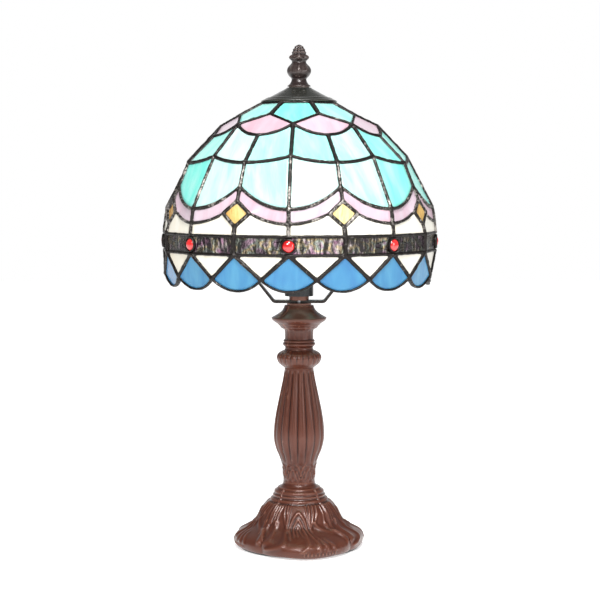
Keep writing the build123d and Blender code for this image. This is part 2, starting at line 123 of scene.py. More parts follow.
def ring_quads(start, rings, sides, closed=False):
    """Quads between numbered rings of points; closed also joins the last ring to the first."""
    faces = []
    for i in range(rings if closed else rings - 1):
        j = (i + 1) % rings
        for k in range(sides):
            m = (k + 1) % sides
            faces.append([start + ring * sides + corner for ring, corner in ((i, k), (i, m), (j, m), (j, k))])
    return faces


def tube_faces(start, rings, sides, closed):
    """The skin of a tube of rings, with a cap at each end unless it is closed."""
    faces = ring_quads(start, rings, sides, closed)
    if not closed:
        faces.append([start + k for k in range(sides)][::-1])
        faces.append([start + (rings - 1) * sides + k for k in range(sides)])
    return faces


def evenly(points, spacing, closed=True):
    """A line with points added so that they lie about one spacing apart."""
    dense = []
    for p, q in zip(points, points[1:] + points[:1] if closed else points[1:]):
        count = max(1, round((q - p).length / spacing))
        dense += [p.lerp(q, i / count) for i in range(count)]
    return dense if closed else dense + [points[-1]]


def smooth_step(low, high, value):
    """0 below low, 1 above high and a smooth rise between."""
    share = np.clip((value - low) / (high - low), 0.0, 1.0)
    return share * share * (3.0 - 2.0 * share)


def bump(value, centre, width):
    """A rounded hump of height 1 at the centre."""
    return np.exp(-((value - centre) / width) ** 2)


def waves(degrees):
    """Cosine of an angle given in degrees."""
    return np.cos(np.radians(degrees))


# ---- materials -------------------------------------------------------------

def grey(level):
    return (level,) * 3


class Shader:
    """A material with one Principled surface, built a node at a time."""

    def __init__(self, name):
        self.material = bpy.data.materials.new(name)
        self.material.use_nodes = True
        self.tree = self.material.node_tree
        self.surface = self.tree.nodes["Principled BSDF"]

    def feed(self, socket, value):
        if isinstance(value, bpy.types.NodeSocket):
            self.tree.links.new(value, socket)
        else:
            socket.default_value = value

    def add(self, kind, settings=(), **inputs):
        node = self.tree.nodes.new("ShaderNode" + kind)
        for key, value in dict(settings).items():
            setattr(node, key, value)
        for key, value in inputs.items():
            self.feed(node.inputs[key.replace("_", " ")], value)
        return node

    def set(self, **inputs):
        for key, value in inputs.items():
            self.feed(self.surface.inputs[key.replace("_", " ")], value)

    def ramp(self, factor, *stops):
        node = self.add("ValToRGB", Fac=factor)
        ramp = node.color_ramp
        while len(ramp.elements) < len(stops):
            ramp.elements.new(0.5)
        for element, (position, colour) in zip(ramp.elements, stops):
            element.position = position
            element.color = (*colour, 1.0)
        return node.outputs["Color"]

    def multiply(self, first, second):
        """The product of two colours."""
        node = self.add("Mix", {"data_type": "RGBA", "blend_type": "MULTIPLY"})
        node.inputs[0].default_value = 1.0
        self.feed(node.inputs[6], first)
        self.feed(node.inputs[7], second)
        return node.outputs[2]

    def maths(self, operation, first, second):
        node = self.add("Math", {"operation": operation})
        self.feed(node.inputs[0], first)
        self.feed(node.inputs[1], second)
        return node.outputs[0]

    def plus(self, value, extra, share):
        """The value with a share of something else added."""
        return self.maths("ADD", value, self.maths("MULTIPLY", extra, share))

    def centred(self, value):
        """A value from 0 to 1 moved to lie about zero."""
        return self.maths("SUBTRACT", value, 0.5)

    def noise(self, scale, detail=3.0, rough=0.5, vector=None, distortion=0.0):
        node = self.add("TexNoise", Scale=scale, Detail=detail, Roughness=rough, Distortion=distortion)
        if vector is not None:
            self.feed(node.inputs["Vector"], vector)
        return node.outputs["Fac"]

    def object_space(self):
        return self.add("TexCoord").outputs["Object"]

    def sheet(self):
        """A glass piece's flat coordinates in centimetres, its paleness and its own random share."""
        uv = self.add("UVMap", {"uv_map": "sheet"}).outputs["UV"]
        piece = self.add("Attribute", {"attribute_name": "piece"}).outputs["Color"]
        shares = self.add("SeparateColor", Color=piece).outputs
        return uv, shares[0], shares[1]

    def relief(self, height, distance, strength=1.0, under=None):
        node = self.add("Bump", Height=height, Distance=distance, Strength=strength)
        if under is not None:
            self.feed(node.inputs["Normal"], under)
        return node.outputs["Normal"]


def art_glass(name, deep, mid, pale, glow=0.22, streak=0.3, hammered=0.0):
    """Opalescent sheet glass: soft clouds drawn out along the sheet, each piece at its own depth of colour.
    Each piece also glows in its own colour, a painted glow standing in for the bulb's light shining through the
    glass; glow sets its strength.

    hammered is the number of dimples in a centimetre, 0 for a smooth sheet.
    """
    s = Shader(name)
    uv, paleness, _ = s.sheet()
    drawn_out = s.add("Mapping", Vector=uv, Scale=(1.5, 0.35, 1.0)).outputs["Vector"]
    fine = s.add("Mapping", Vector=uv, Scale=(7.0, 1.1, 1.0)).outputs["Vector"]
    cloud = s.centred(s.noise(0.8, 2.0, 0.5, drawn_out, 0.5))
    wisp = s.centred(s.noise(0.9, 3.0, 0.6, fine, 0.8))
    wander = s.plus(s.maths("MULTIPLY", cloud, 0.9), wisp, streak)
    colour = s.ramp(s.maths("ADD", paleness, wander), (0.05, deep), (0.5, mid), (0.95, pale))
    s.set(Base_Color=colour, Roughness=0.2, IOR=1.5, Specular_IOR_Level=0.3)
    # Painted glow: the glass emits its own colour to stand in for the bulb's light coming through it.
    s.set(Emission_Color=colour, Emission_Strength=glow)
    normal = s.relief(s.noise(1.6, 2.0, 0.5, uv, 0.2), 0.0004, 0.25)
    if hammered:
        dimples = s.add("TexVoronoi", {"feature": "SMOOTH_F1"}, Vector=uv, Scale=hammered)
        normal = s.relief(dimples.outputs["Distance"], 0.0006, 0.9, normal)
    s.set(Normal=normal)
    return s.material


def ripple_glass():
    """Dark iridescent glass with close leaning ripples in silver, gold, purple and green, their brightness
    partly the glass's own streaks and partly painted sheen on the ripples' crests and on the band's front
    pieces.
    """
    s = Shader("dark_ripple_glass")
    uv, paleness, drawn = s.sheet()
    lean = s.add("Mapping", Vector=uv, Rotation=(0.0, 0.0, radians(-20)), Scale=(3.8, 0.9, 1.0))
    close = s.add("Mapping", Vector=uv, Scale=(11.0, 5.0, 1.0))
    bars = s.noise(1.0, 1.5, 0.5, lean.outputs["Vector"], 0.9)
    fleck = s.noise(1.0, 2.0, 0.6, close.outputs["Vector"], 0.6)
    hue = s.ramp(s.plus(s.noise(1.3, 1.0, 0.5, uv, 0.4), s.centred(drawn), 0.45),
                 (0.30, (0.32, 0.17, 0.25)), (0.42, (0.39, 0.35, 0.33)), (0.50, (0.46, 0.34, 0.18)),
                 (0.58, (0.31, 0.36, 0.30)), (0.70, (0.33, 0.21, 0.28)))
    height = s.plus(bars, s.centred(fleck), 0.55)
    # Partly painted sheen: the colour is brighter on the ripples' crests, where the bumps rise, and on pieces
    # given a high paleness, which are the band's front pieces.
    streaks_and_painted_sheen = s.ramp(s.plus(height, s.centred(paleness), 0.36),
                   (0.41, grey(0.04)), (0.58, grey(0.36)), (0.75, grey(1.15)))
    s.set(Base_Color=s.multiply(streaks_and_painted_sheen, hue), Roughness=0.22, IOR=1.5, Specular_IOR_Level=0.25)
    s.set(Normal=s.relief(height, 0.0012, 0.6))
    return s.material


def jewel_glass():
    s = Shader("red_jewel_glass")
    swirl = s.noise(240.0, 2.0, 0.5, s.object_space())
    colour = s.ramp(swirl, (0.3, (0.30, 0.004, 0.006)), (0.7, (0.75, 0.02, 0.02)))
    s.set(Base_Color=colour, Roughness=0.06, IOR=1.52, Coat_Weight=1.0, Coat_Roughness=0.02)
    # Painted glow: the jewel emits its own red to stand in for the bulb's light coming through it.
    s.set(Emission_Color=colour, Emission_Strength=0.15)
    return s.material


def solder(name, base, light, speckle):
    """Patinated solder: dark, with bright spots on a lumpy bead, partly rubbed-through patina and partly
    painted glints on the lumps' crests.
    """
    s = Shader(name)
    at = s.object_space()
    lumps = s.noise(520.0, 3.0, 0.6, at)
    patches = s.noise(95.0, 3.0, 0.6, at)
    # The bright spots are partly rubbed patina and partly painted glints: the colour is lighter where the lumps
    # that raise the bumps are highest.
    rubbing_and_glints = s.plus(s.maths("MULTIPLY", lumps, 0.6), patches, 0.5)
    s.set(Base_Color=s.ramp(rubbing_and_glints, (speckle, base), (speckle + 0.14, light)), Metallic=0.55)
    s.set(Roughness=s.ramp(patches, (0.3, grey(0.52)), (0.7, grey(0.32))))
    pits = s.relief(s.noise(1500.0, 2.0, 0.5, at), 0.0002, 0.3)
    s.set(Normal=s.relief(lumps, 0.0006, 0.55, pits))
    return s.material


def bronze_paint(name, dark, mid, light, gloss=0.36):
    """Brown bronze paint: darker in hollows, rubbed lighter on edges, finely pitted."""
    s = Shader(name)
    at = s.object_space()
    edge = s.add("NewGeometry").outputs["Pointiness"]
    wear = s.ramp(edge, (0.455, grey(0.0)), (0.50, grey(0.45)), (0.56, grey(1.0)))
    cloud = s.noise(42.0, 4.0, 0.6, at)
    grain = s.noise(900.0, 2.0, 0.6, at)
    tone = s.plus(s.maths("MULTIPLY", wear, 0.85), s.centred(cloud), 0.35)
    colour = s.ramp(tone, (0.05, dark), (0.42, mid), (0.95, light))
    s.set(Base_Color=colour, Metallic=0.2, IOR=1.5, Specular_IOR_Level=0.25)
    s.set(Coat_Weight=0.45, Coat_Roughness=gloss * 0.75, Coat_IOR=1.5)
    s.set(Roughness=s.ramp(cloud, (0.3, grey(gloss + 0.08)), (0.7, grey(gloss - 0.04))))
    s.set(Normal=s.relief(grain, 0.0002, 0.35, s.relief(cloud, 0.0008, 0.25)))
    return s.material


def plain_metal(name, colour, rough, metallic=1.0):
    s = Shader(name)
    grain = s.noise(300.0, 3.0, 0.6, s.object_space())
    dark = tuple(c * 0.7 for c in colour)
    s.set(Base_Color=s.ramp(grain, (0.35, dark), (0.65, colour)), Metallic=metallic)
    s.set(Roughness=s.ramp(grain, (0.3, grey(rough + 0.12)), (0.7, grey(rough))))
    s.set(Normal=s.relief(grain, 0.0001, 0.3))
    return s.material


def moulded(name, colour, rough):
    s = Shader(name)
    grain = s.noise(700.0, 2.0, 0.5, s.object_space())
    pale = tuple(min(c * 1.5 + 0.01, 1.0) for c in colour)
    s.set(Base_Color=s.ramp(grain, (0.3, colour), (0.8, pale)), Roughness=rough, IOR=1.5)
    s.set(Normal=s.relief(grain, 0.0001, 0.3))
    return s.material


def felt():
    s = Shader("black_felt")
    fibre = s.noise(1400.0, 5.0, 0.7, s.object_space())
    s.set(Base_Color=s.ramp(fibre, (0.3, grey(0.012)), (0.8, grey(0.07))), Roughness=0.95, Sheen_Weight=0.6)
    s.set(Normal=s.relief(fibre, 0.0004, 0.8))
    return s.material


def lit_bulb():
    s = Shader("lit_opal_glass")
    cloud = s.noise(60.0, 2.0, 0.5, s.object_space())
    colour = s.ramp(cloud, (0.3, (1.0, 0.86, 0.66)), (0.7, (1.0, 0.92, 0.78)))
    s.set(Base_Color=colour, Roughness=0.35, Emission_Color=colour, Emission_Strength=2.0)
    return s.material


AQUA = art_glass("aqua_opal_glass", (0.13, 0.52, 0.45), (0.27, 0.55, 0.505), (0.48, 0.58, 0.56))
PINK = art_glass("pink_opal_glass", (0.46, 0.26, 0.31), (0.45, 0.345, 0.395), (0.47, 0.43, 0.47))
CREAM = art_glass("cream_opal_glass", (0.58, 0.52, 0.42), (0.60, 0.58, 0.51), (0.62, 0.60, 0.55),
                  glow=0.27, streak=0.1)
BLUE = art_glass("blue_opal_glass", (0.025, 0.11, 0.27), (0.04, 0.17, 0.315), (0.075, 0.25, 0.37),
                 glow=0.28, streak=0.15)
AMBER = art_glass("amber_hammered_glass", (0.28, 0.13, 0.03), (0.50, 0.35, 0.12), (0.56, 0.49, 0.27),
                  glow=0.35, streak=0.9, hammered=4.5)
RIPPLE = ripple_glass()
RED = jewel_glass()
SOLDER = solder("patinated_solder", (0.010, 0.007, 0.006), (0.20, 0.18, 0.16), 0.64)
SOLDER_WORN_AND_GLINTING = solder("rubbed_glinting_solder", (0.014, 0.011, 0.009), (0.36, 0.33, 0.30), 0.56)
BRONZE = bronze_paint("brown_bronze_paint", (0.020, 0.005, 0.003), (0.086, 0.021, 0.010), (0.20, 0.080, 0.052))
FINIAL_BRONZE = bronze_paint("dark_bronze_paint", (0.005, 0.003, 0.003), (0.024, 0.015, 0.014),
                             (0.20, 0.15, 0.13), gloss=0.30)
CAP_BRONZE = bronze_paint("green_black_patina", (0.005, 0.006, 0.005), (0.014, 0.015, 0.012),
                          (0.14, 0.12, 0.09), gloss=0.26)


# ---- the shade's lattice ---------------------------------------------------

def place(angle, corner):
    """A lattice point in millimetres, from its angle off an A line and its (radius, height)."""
    turn = radians(FRONT + angle + TWIST)
    return Vector((corner[0] * cos(turn), corner[0] * sin(turn), corner[1]))


def flatten(angle):
    """How much nearer the axis a flat piece lies between an A line and a B line."""
    return cos(radians(TO_C)) / cos(radians(abs(angle) % TO_B - TO_C))


def swag(cusp_angle, cusp, low_angle, low, steps=12):
    """Half a scallop, steep at its cusp and level at its lowest point."""
    points = []
    for i in range(steps + 1):
        share = i / steps
        drop = 1.0 - (1.0 - share) ** 2
        angle = cusp_angle + (low_angle - cusp_angle) * share
        flat = flatten(angle) if 0 < i < steps else 1.0
        radius = (cusp[0] + (low[0] - cusp[0]) * drop) * flat
        points.append(place(angle, (radius, cusp[1] + (low[1] - cusp[1]) * drop)))
    return points


def rim_curve(middle, steps=16):
    """The convex lower edge of one rim piece, from one C line to the next."""
    points = []
    for i in range(steps + 1):
        across = 2.0 * i / steps - 1.0
        drop = 1.0 - abs(across) ** 2.2
        radius = POINT_C[0] + (RIM_LOW[0] - POINT_C[0]) * drop
        height = POINT_C[1] + (RIM_LOW[1] - POINT_C[1]) * drop
        points.append(place(middle + TO_C * across, (radius, height)))
    return points


def dome_radius(z):
    """The dome's radius at a height, straight between the lattice lines."""
    profile = [RIM_LOW, BAND_BOTTOM, BAND_TOP, HEM_A, SWAG_A, SWAG_B, TIER_B, LEAF_B, PEAK_A, TOP_B]
    above = next((i for i, p in enumerate(profile) if p[1] > z), len(profile) - 1)
    low, high = profile[max(above, 1) - 1], profile[max(above, 1)]
    return low[0] + (high[0] - low[0]) * (z - low[1]) / (high[1] - low[1])


def outward(point, step=4.0):
    """Outward unit normal of the dome at a point."""
    inward = dome_radius(point.z - step) - dome_radius(point.z + step)
    reach = hypot(point.x, point.y)
    return Vector((point.x / reach * 2 * step, point.y / reach * 2 * step, inward)).normalized()


# ---- glass -----------------------------------------------------------------

class GlassSheets:
    """Many pieces of glass collected into one mesh."""

    def __init__(self, name, material, seed, turn=None):
        self.name, self.material = name, material
        self.draw = random.Random(seed)
        self.turn = turn
        self.points, self.faces, self.uvs, self.tints = [], [], [], []

    def add(self, outline, paleness=None):
        """One piece inside an outline of lattice lines, both faces and its edge."""
        edge = evenly(outline, SHEET_SPACING)
        centre = sum(edge, Vector()) / len(edge)
        normal = Vector()
        for p, q in zip(edge, edge[1:] + edge[:1]):
            normal += (p - centre).cross(q - centre)
        normal.normalize()
        if normal.dot(Vector((centre.x, centre.y, 0))) < 0:
            normal = -normal
            edge.reverse()
        across = Vector((0, 0, 1)).cross(normal).normalized()
        up = normal.cross(across)
        angle = self.draw.uniform(-0.25, 0.25) if self.turn is None else self.turn
        shift = (self.draw.uniform(0, 40), self.draw.uniform(0, 40))
        drawn = self.draw.uniform(0.3, 0.7)
        tint = (drawn if paleness is None else paleness, drawn, drawn, 1.0)
        tilt = (self.draw.uniform(-0.004, 0.004), self.draw.uniform(-0.004, 0.004))

        def put(point, depth):
            off = point - centre
            u, v = off.dot(across), off.dot(up)
            wave = 0.12 * noise.noise(Vector((u * 0.12 + shift[0], v * 0.12 + shift[1], 0.0)))
            level = u * tilt[0] + v * tilt[1] + wave
            self.points.append((point + normal * (level - depth)) * MM)
            turned_u = (u * cos(angle) - v * sin(angle)) * 0.1
            turned_v = (u * sin(angle) + v * cos(angle)) * 0.1
            self.uvs.append((turned_u + shift[0], turned_v + shift[1]))
            self.tints.append(tint)

        start, count = len(self.points), len(edge)
        for depth in (GLASS_INSET, GLASS_INSET + GLASS_THICKNESS):
            for ring in range(SHEET_RINGS):
                share = 1.0 - ring / SHEET_RINGS
                for p in edge:
                    flat = p - centre
                    off = flat.dot(normal)
                    flat = (flat - normal * off) * share + normal * off * share ** 3
                    put(centre + flat, depth)
            put(centre, depth)
        layer = SHEET_RINGS * count + 1
        for base, way in ((start, 1), (start + layer, -1)):
            inner, middle = base + (SHEET_RINGS - 1) * count, base + layer - 1
            self.faces += [quad[::way] for quad in ring_quads(base, SHEET_RINGS, count)]
            self.faces += [[inner + i, inner + (i + 1) % count, middle][::way] for i in range(count)]
        for i in range(count):
            j = (i + 1) % count
            self.faces.append([start + j, start + i, start + layer + i, start + layer + j])

    def finish(self, slot, node):
        piece = mesh_object(self.name, self.points, self.faces, self.material)
        mesh = piece.data
        layer = mesh.uv_layers.new(name="sheet")
        tints = mesh.color_attributes.new("piece", "FLOAT_COLOR", "POINT")
        for loop in mesh.loops:
            layer.data[loop.index].uv = self.uvs[loop.vertex_index]
        for i, tint in enumerate(self.tints):
            tints.data[i].color = tint
        belongs(piece, "shade", slot, node)


def jewel_notch(middle, side, steps=8):
    """The band glass's concave end on one side of a jewel, top to bottom."""
    reach = 4.3
    points = []
    for i in range(steps + 1):
        turn = pi * (0.5 - i / steps)
        z = JEWEL_Z + reach * sin(turn)
        angle = side * (reach * cos(turn)) / JEWEL_AXIS_R * 180 / pi
        points.append(place(middle + angle, (dome_radius(z) * flatten(angle), z)))
    return points


# How pale each piece is, 0 deep and 1 nearly white. Partly this is each piece's own colour and partly painted
# light:
# the low tier's front pieces are paler as a painted glow of the bulb behind them, and the band's front pieces
# are brighter than its side pieces as a painted reflection. The crown goes by sectors from the front. The tiers
# and the band go by half sectors to the right, from just right of the front; the last is just left of it.
HIGH_TIER_PALENESS = (0.30, 0.6, 0.25, 0.35, 0.6, 0.3, 0.8, 0.5, 0.2, 0.7, 0.4, 0.9, 0.3, 0.5, 0.8, 0.48)
LOW_TIER_PALENESS = (0.78, 0.62, 0.28, 0.3, 0.7, 0.4, 0.2, 0.8, 0.5, 0.9, 0.3, 0.6, 0.4, 0.18, 0.72, 0.60)
CROWN_PALENESS = (0.15, 0.5, 0.4, 0.7, 0.3, 0.6, 0.4, 0.5)
BAND_PALENESS = (0.66, 0.36, 0.2, 0.2, 0.15, 0.3, 0.5, 0.4, 0.6, 0.3, 0.5, 0.4, 0.25, 0.12, 0.38, 0.48)


def make_glass():
    crown = GlassSheets("crown_glass", AQUA, 11)
    leaf = GlassSheets("leaf_glass", PINK, 12)
    high = GlassSheets("high_tier_glass", AQUA, 13)
    low = GlassSheets("low_tier_glass", AQUA, 14)
    swags = GlassSheets("swag_glass", PINK, 15)
    hems = GlassSheets("hem_glass", CREAM, 16)
    band = GlassSheets("band_glass", RIPPLE, 17, turn=0.0)
    triangles = GlassSheets("triangle_glass", CREAM, 18)
    scallops = GlassSheets("scallop_glass", BLUE, 19)
    diamonds = GlassSheets("diamond_glass", AMBER, 20)
    for k in range(REPEATS):
        a = k * SECTOR
        b = a + TO_B
        crown.add([
            place(a - TO_B, TOP_B), place(a - TO_B, PEAK_B), place(a, PEAK_A),
            place(b, PEAK_B), place(b, TOP_B),
        ], CROWN_PALENESS[k])
        left = swag(a, PEAK_A, b, LEAF_B)
        right = swag(a + SECTOR, PEAK_A, b, LEAF_B)
        leaf.add(left + right[-2::-1] + [place(b, PEAK_B)])
        diamonds.add([
            place(b, DIAMOND_TOP), place(b - DIAMOND_HALF_ANGLE, DIAMOND_SIDE),
            place(b, DIAMOND_BOTTOM), place(b + DIAMOND_HALF_ANGLE, DIAMOND_SIDE),
        ])
        for s in (-1, 1):
            to_b = a + s * TO_B
            leaf_edge = swag(a, PEAK_A, to_b, LEAF_B)
            tier = swag(a, TIER_A, to_b, TIER_B)
            fall = swag(to_b, SWAG_B, a, SWAG_A)
            hem = swag(to_b - s * DIAMOND_HALF_ANGLE, DIAMOND_SIDE, a, HEM_A)
            half = (2 * k + (s - 1) // 2) % (2 * REPEATS)
            high.add(leaf_edge + tier[::-1], HIGH_TIER_PALENESS[half])
            low.add(tier + fall, LOW_TIER_PALENESS[half])
            swags.add(fall + hem[::-1] + [place(to_b, DIAMOND_TOP)])
            hems.add(hem + [place(a, BAND_TOP), place(to_b, BAND_TOP), place(to_b, DIAMOND_BOTTOM)])
            far_end = [place(a, BAND_BOTTOM), place(to_b, BAND_BOTTOM), place(to_b, BAND_TOP)]
            band.add([place(a, BAND_TOP)] + jewel_notch(a, s) + far_end, BAND_PALENESS[half])
            triangles.add([place(a, BAND_BOTTOM), place(a + s * TO_C, POINT_C), place(to_b, BAND_BOTTOM)])
        for middle in (a, b):
            scallops.add(rim_curve(middle) + [place(middle, BAND_BOTTOM)])
    crown.finish("aqua_glass", "glass_crown")
    leaf.finish("pink_glass", "glass_leaf")
    high.finish("aqua_glass", "glass_tier_high")
    low.finish("aqua_glass", "glass_tier_low")
    swags.finish("pink_glass", "glass_swag")
    hems.finish("cream_glass", "glass_hem")
    band.finish("ripple_glass", "glass_band")
    triangles.finish("cream_glass", "glass_triangle")
    scallops.finish("blue_glass", "glass_scallop")
    diamonds.finish("amber_glass", "glass_diamond")


# ---- solder lattice --------------------------------------------------------

class SolderBeads:
    """Rounded solder beads along lattice lines, melted into one skin."""

    def __init__(self, name, material, seed):
        self.name, self.material = name, material
        self.draw = random.Random(seed)
        self.points, self.faces = [], []

    def line(self, points, width, closed=False):
        """One bead; it wanders a little in width along its length."""
        dense = evenly(points, BEAD_SPACING, closed)
        start, phase = len(self.points), self.draw.uniform(0, 50)
        for i, p in enumerate(dense):
            before = dense[i - 1] if closed or i > 0 else p
            after = dense[(i + 1) % len(dense)] if closed or i + 1 < len(dense) else p
            normal = outward(p)
            across = normal.cross(after - before).normalized()
            swell = 1.0 + 0.16 * noise.noise(Vector((phase + i * 0.35, 0.0, 0.0)))
            for k in range(BEAD_SIDES):
                turn = 2 * pi * k / BEAD_SIDES
                side = across * (cos(turn) * width / 2 * swell)
                high = normal * (sin(turn) * BEAD_DEPTH / 2 * swell - BEAD_SINK)
                self.points.append((p + side + high) * MM)
        self.faces += tube_faces(start, len(dense), BEAD_SIDES, closed)

    def finish(self, *nodes):
        """Melt the beads together and leave their surface a little uneven."""
        piece = mesh_object(self.name, self.points, self.faces, self.material)
        outward_faces(piece)
        melt = piece.modifiers.new("melt", "REMESH")
        melt.mode = "VOXEL"
        melt.voxel_size = BEAD_VOXEL * MM
        melt.use_smooth_shade = True
        soften = piece.modifiers.new("soften", "SMOOTH")
        soften.factor, soften.iterations = 0.5, 3
        graph = bpy.context.evaluated_depsgraph_get()
        mesh = bpy.data.meshes.new_from_object(piece.evaluated_get(graph))
        piece.modifiers.clear()
        piece.data = mesh
        moves = []
        for vertex in mesh.vertices:
            at = vertex.co / MM
            uneven = 0.07 * noise.noise(at * 0.9) + 0.04 * noise.noise(at * 2.3)
            moves.append(vertex.co + vertex.normal * uneven * MM)
        mesh.vertices.foreach_set("co", [value for move in moves for value in move])
        mesh.shade_smooth()
        belongs(piece, "shade", "solder", *nodes)


def scalloped(cusp_angle, cusp, low):
    """One sector of a scalloped line, from cusp to cusp."""
    fall = swag(cusp_angle, cusp, cusp_angle + TO_B, low)
    rise = swag(cusp_angle + SECTOR, cusp, cusp_angle + TO_B, low)
    return fall + rise[-2:0:-1]


def all_round(sector_points):
    """The points of eight sectors in order, from a function of the sector's start angle."""
    return [p for k in range(REPEATS) for p in sector_points(k * SECTOR)]


def make_solder():
    top = SolderBeads("solder_crown", SOLDER, 31)
    top.line(all_round(lambda a: [place(a + TO_B, TOP_B)]), 2.6, closed=True)
    top.line(all_round(lambda a: [place(a, PEAK_A), place(a + TO_B, PEAK_B)]), 2.2, closed=True)
    top.line(all_round(lambda a: scalloped(a, PEAK_A, LEAF_B)), 2.9, closed=True)
    top.line(all_round(lambda a: scalloped(a, TIER_A, TIER_B)), 2.8, closed=True)
    for k in range(REPEATS):
        a, b = k * SECTOR, k * SECTOR + TO_B
        top.line([place(b, TOP_B), place(b, PEAK_B)], 4.2)
        top.line([place(a, PEAK_A), place(a, TIER_A)], 3.4)
        top.line([place(b, LEAF_B), place(b, TIER_B)], 3.4)
    top.finish("came_top_ring", "came_peak_line", "came_leaf_arcs", "came_tier_line")

    body = SolderBeads("solder_body", SOLDER_WORN_AND_GLINTING, 32)
    body.line(all_round(lambda a: scalloped(a - TO_B, SWAG_B, SWAG_A)), 2.7, closed=True)
    for k in range(REPEATS):
        a, b = k * SECTOR, k * SECTOR + TO_B
        body.line([place(a, TIER_A), place(a, SWAG_A), place(a, HEM_A), place(a, BAND_TOP)], 3.2)
        body.line([place(b, TIER_B), place(b, SWAG_B), place(b, DIAMOND_TOP)], 3.2)
        body.line([place(b, DIAMOND_BOTTOM), place(b, BAND_TOP)], 4.0)
        for s in (-1, 1):
            side = b + s * DIAMOND_HALF_ANGLE
            body.line([place(b, DIAMOND_TOP), place(side, DIAMOND_SIDE), place(b, DIAMOND_BOTTOM)], 3.1)
            body.line(swag(side, DIAMOND_SIDE, b + s * TO_B, HEM_A), 2.5)
    body.finish("came_swag_line", "came_ribs", "came_hem_line", "came_diamond_frames")

    band = SolderBeads("solder_band", SOLDER, 33)
    for corner in (BAND_TOP, BAND_BOTTOM):
        band.line(all_round(lambda a: [place(a, corner), place(a + TO_B, corner)]), 2.5, closed=True)
    for k in range(REPEATS):
        a, b = k * SECTOR, k * SECTOR + TO_B
        band.line([place(b, BAND_TOP), place(b, BAND_BOTTOM)], 3.2)
        for s in (-1, 1):
            band.line([place(a, BAND_BOTTOM), place(a + s * TO_C, POINT_C)], 3.2)
            band.line([place(b, BAND_BOTTOM), place(b + s * TO_C, POINT_C)], 3.2)
    band.line(all_round(lambda a: rim_curve(a)[:-1] + rim_curve(a + TO_B)[:-1]), 2.0, closed=True)
    band.finish("came_band_top", "came_band_bottom", "came_zigzag", "came_rim")


# ---- jewels ----------------------------------------------------------------

def add_turned(points, faces, profile, centre, axis, closed):
    """Append a small turned shape about an axis; profile pairs are (radius, height) in millimetres."""
    sides = 32
    across = axis.cross(Vector((0, 0, 1))).normalized()
    up = across.cross(axis)
    start = len(points)
    for radius, height in profile:
        for k in range(sides):
            turn = 2 * pi * k / sides
            points.append((centre + axis * height + (across * cos(turn) + up * sin(turn)) * radius) * MM)
    faces += tube_faces(start, len(profile), sides, closed)


def make_jewels():
    stones, stone_faces, bezels, bezel_faces = [], [], [], []
    quarter = [pi / 2 * i / 10 for i in range(1, 10)]
    circle = [2 * pi * i / 12 for i in range(12)]
    dome = [(4.15, -2.6), (4.2, -0.9)] + [(4.2 * cos(t), -0.9 + 2.4 * sin(t)) for t in quarter] + [(0.25, 1.5)]
    rim = [(4.75 + 0.62 * cos(t), -0.9 + 1.5 * sin(t)) for t in circle]
    for k in range(REPEATS):
        centre = place(k * SECTOR, (JEWEL_AXIS_R, JEWEL_Z))
        axis = Vector((centre.x, centre.y, 0)).normalized()
        add_turned(stones, stone_faces, dome, centre, axis, closed=False)
        add_turned(bezels, bezel_faces, rim, centre, axis, closed=True)
    stone = mesh_object("jewel_stones", stones, stone_faces, RED)
    outward_faces(stone)
    belongs(stone, "shade", "red_glass", "jewels")
    bezel = mesh_object("jewel_settings", bezels, bezel_faces, SOLDER)
    outward_faces(bezel)
    belongs(bezel, "shade", "solder", "jewel_bezels")


# ---- turned castings with relief -------------------------------------------

def curve_through(points, steps):
    """A smooth curve through pairs of numbers; a pair given twice makes a corner."""
    dense = []
    for i in range(len(points) - 1):
        p0, p1 = Vector(points[max(i - 1, 0)]), Vector(points[i])
        p2, p3 = Vector(points[i + 1]), Vector(points[min(i + 2, len(points) - 1)])
        if (p2 - p1).length < 1e-6:
            continue
        for k in range(steps):
            t = k / steps
            bend = (2 * p0 - 5 * p1 + 4 * p2 - p3) * t * t + (3 * p1 - p0 - 3 * p2 + p3) * t ** 3
            dense.append(0.5 * (2 * p1 + (p2 - p0) * t + bend))
    dense.append(Vector(points[-1]))
    return dense


def relief_turning(name, outer, inner, material, relief, sides, steps=8, spread=None):
    """A closed casting: an outer (radius, height) curve with relief, and a plain inside.

    relief(front, z) moves the surface out along its normal and spread(front, z) adds to its radius alone.
    front is the angle from the front in degrees, positive to the right.
    """
    skin = np.array([tuple(p) for p in curve_through(outer, steps)])
    along = np.vstack([skin[1:], skin[-1:]]) - np.vstack([skin[:1], skin[:-1]])
    along /= np.maximum(np.linalg.norm(along, axis=1), 1e-9)[:, None]
    angle = 2 * pi * np.arange(sides) / sides
    front = (np.degrees(angle) + 270.0) % 360.0 - 180.0
    fronts, heights = np.meshgrid(front, skin[:, 1])
    out = relief(fronts, heights)
    radius = skin[:, :1] + along[:, 1:] * out
    height = skin[:, 1:] - along[:, :1] * out
    if spread:
        radius = radius + spread(fronts, heights)
    plain = np.array(inner)
    radius = np.vstack([radius, np.repeat(plain[:, :1], sides, axis=1)])
    height = np.vstack([height, np.repeat(plain[:, 1:], sides, axis=1)])
    grid = np.stack([radius * np.cos(angle), radius * np.sin(angle), height], axis=-1) * MM
    faces = ring_quads(0, len(grid), sides, closed=True)
    piece = mesh_object(name, grid.reshape(-1, 3).tolist(), faces, material)
    outward_faces(piece)
    return piece


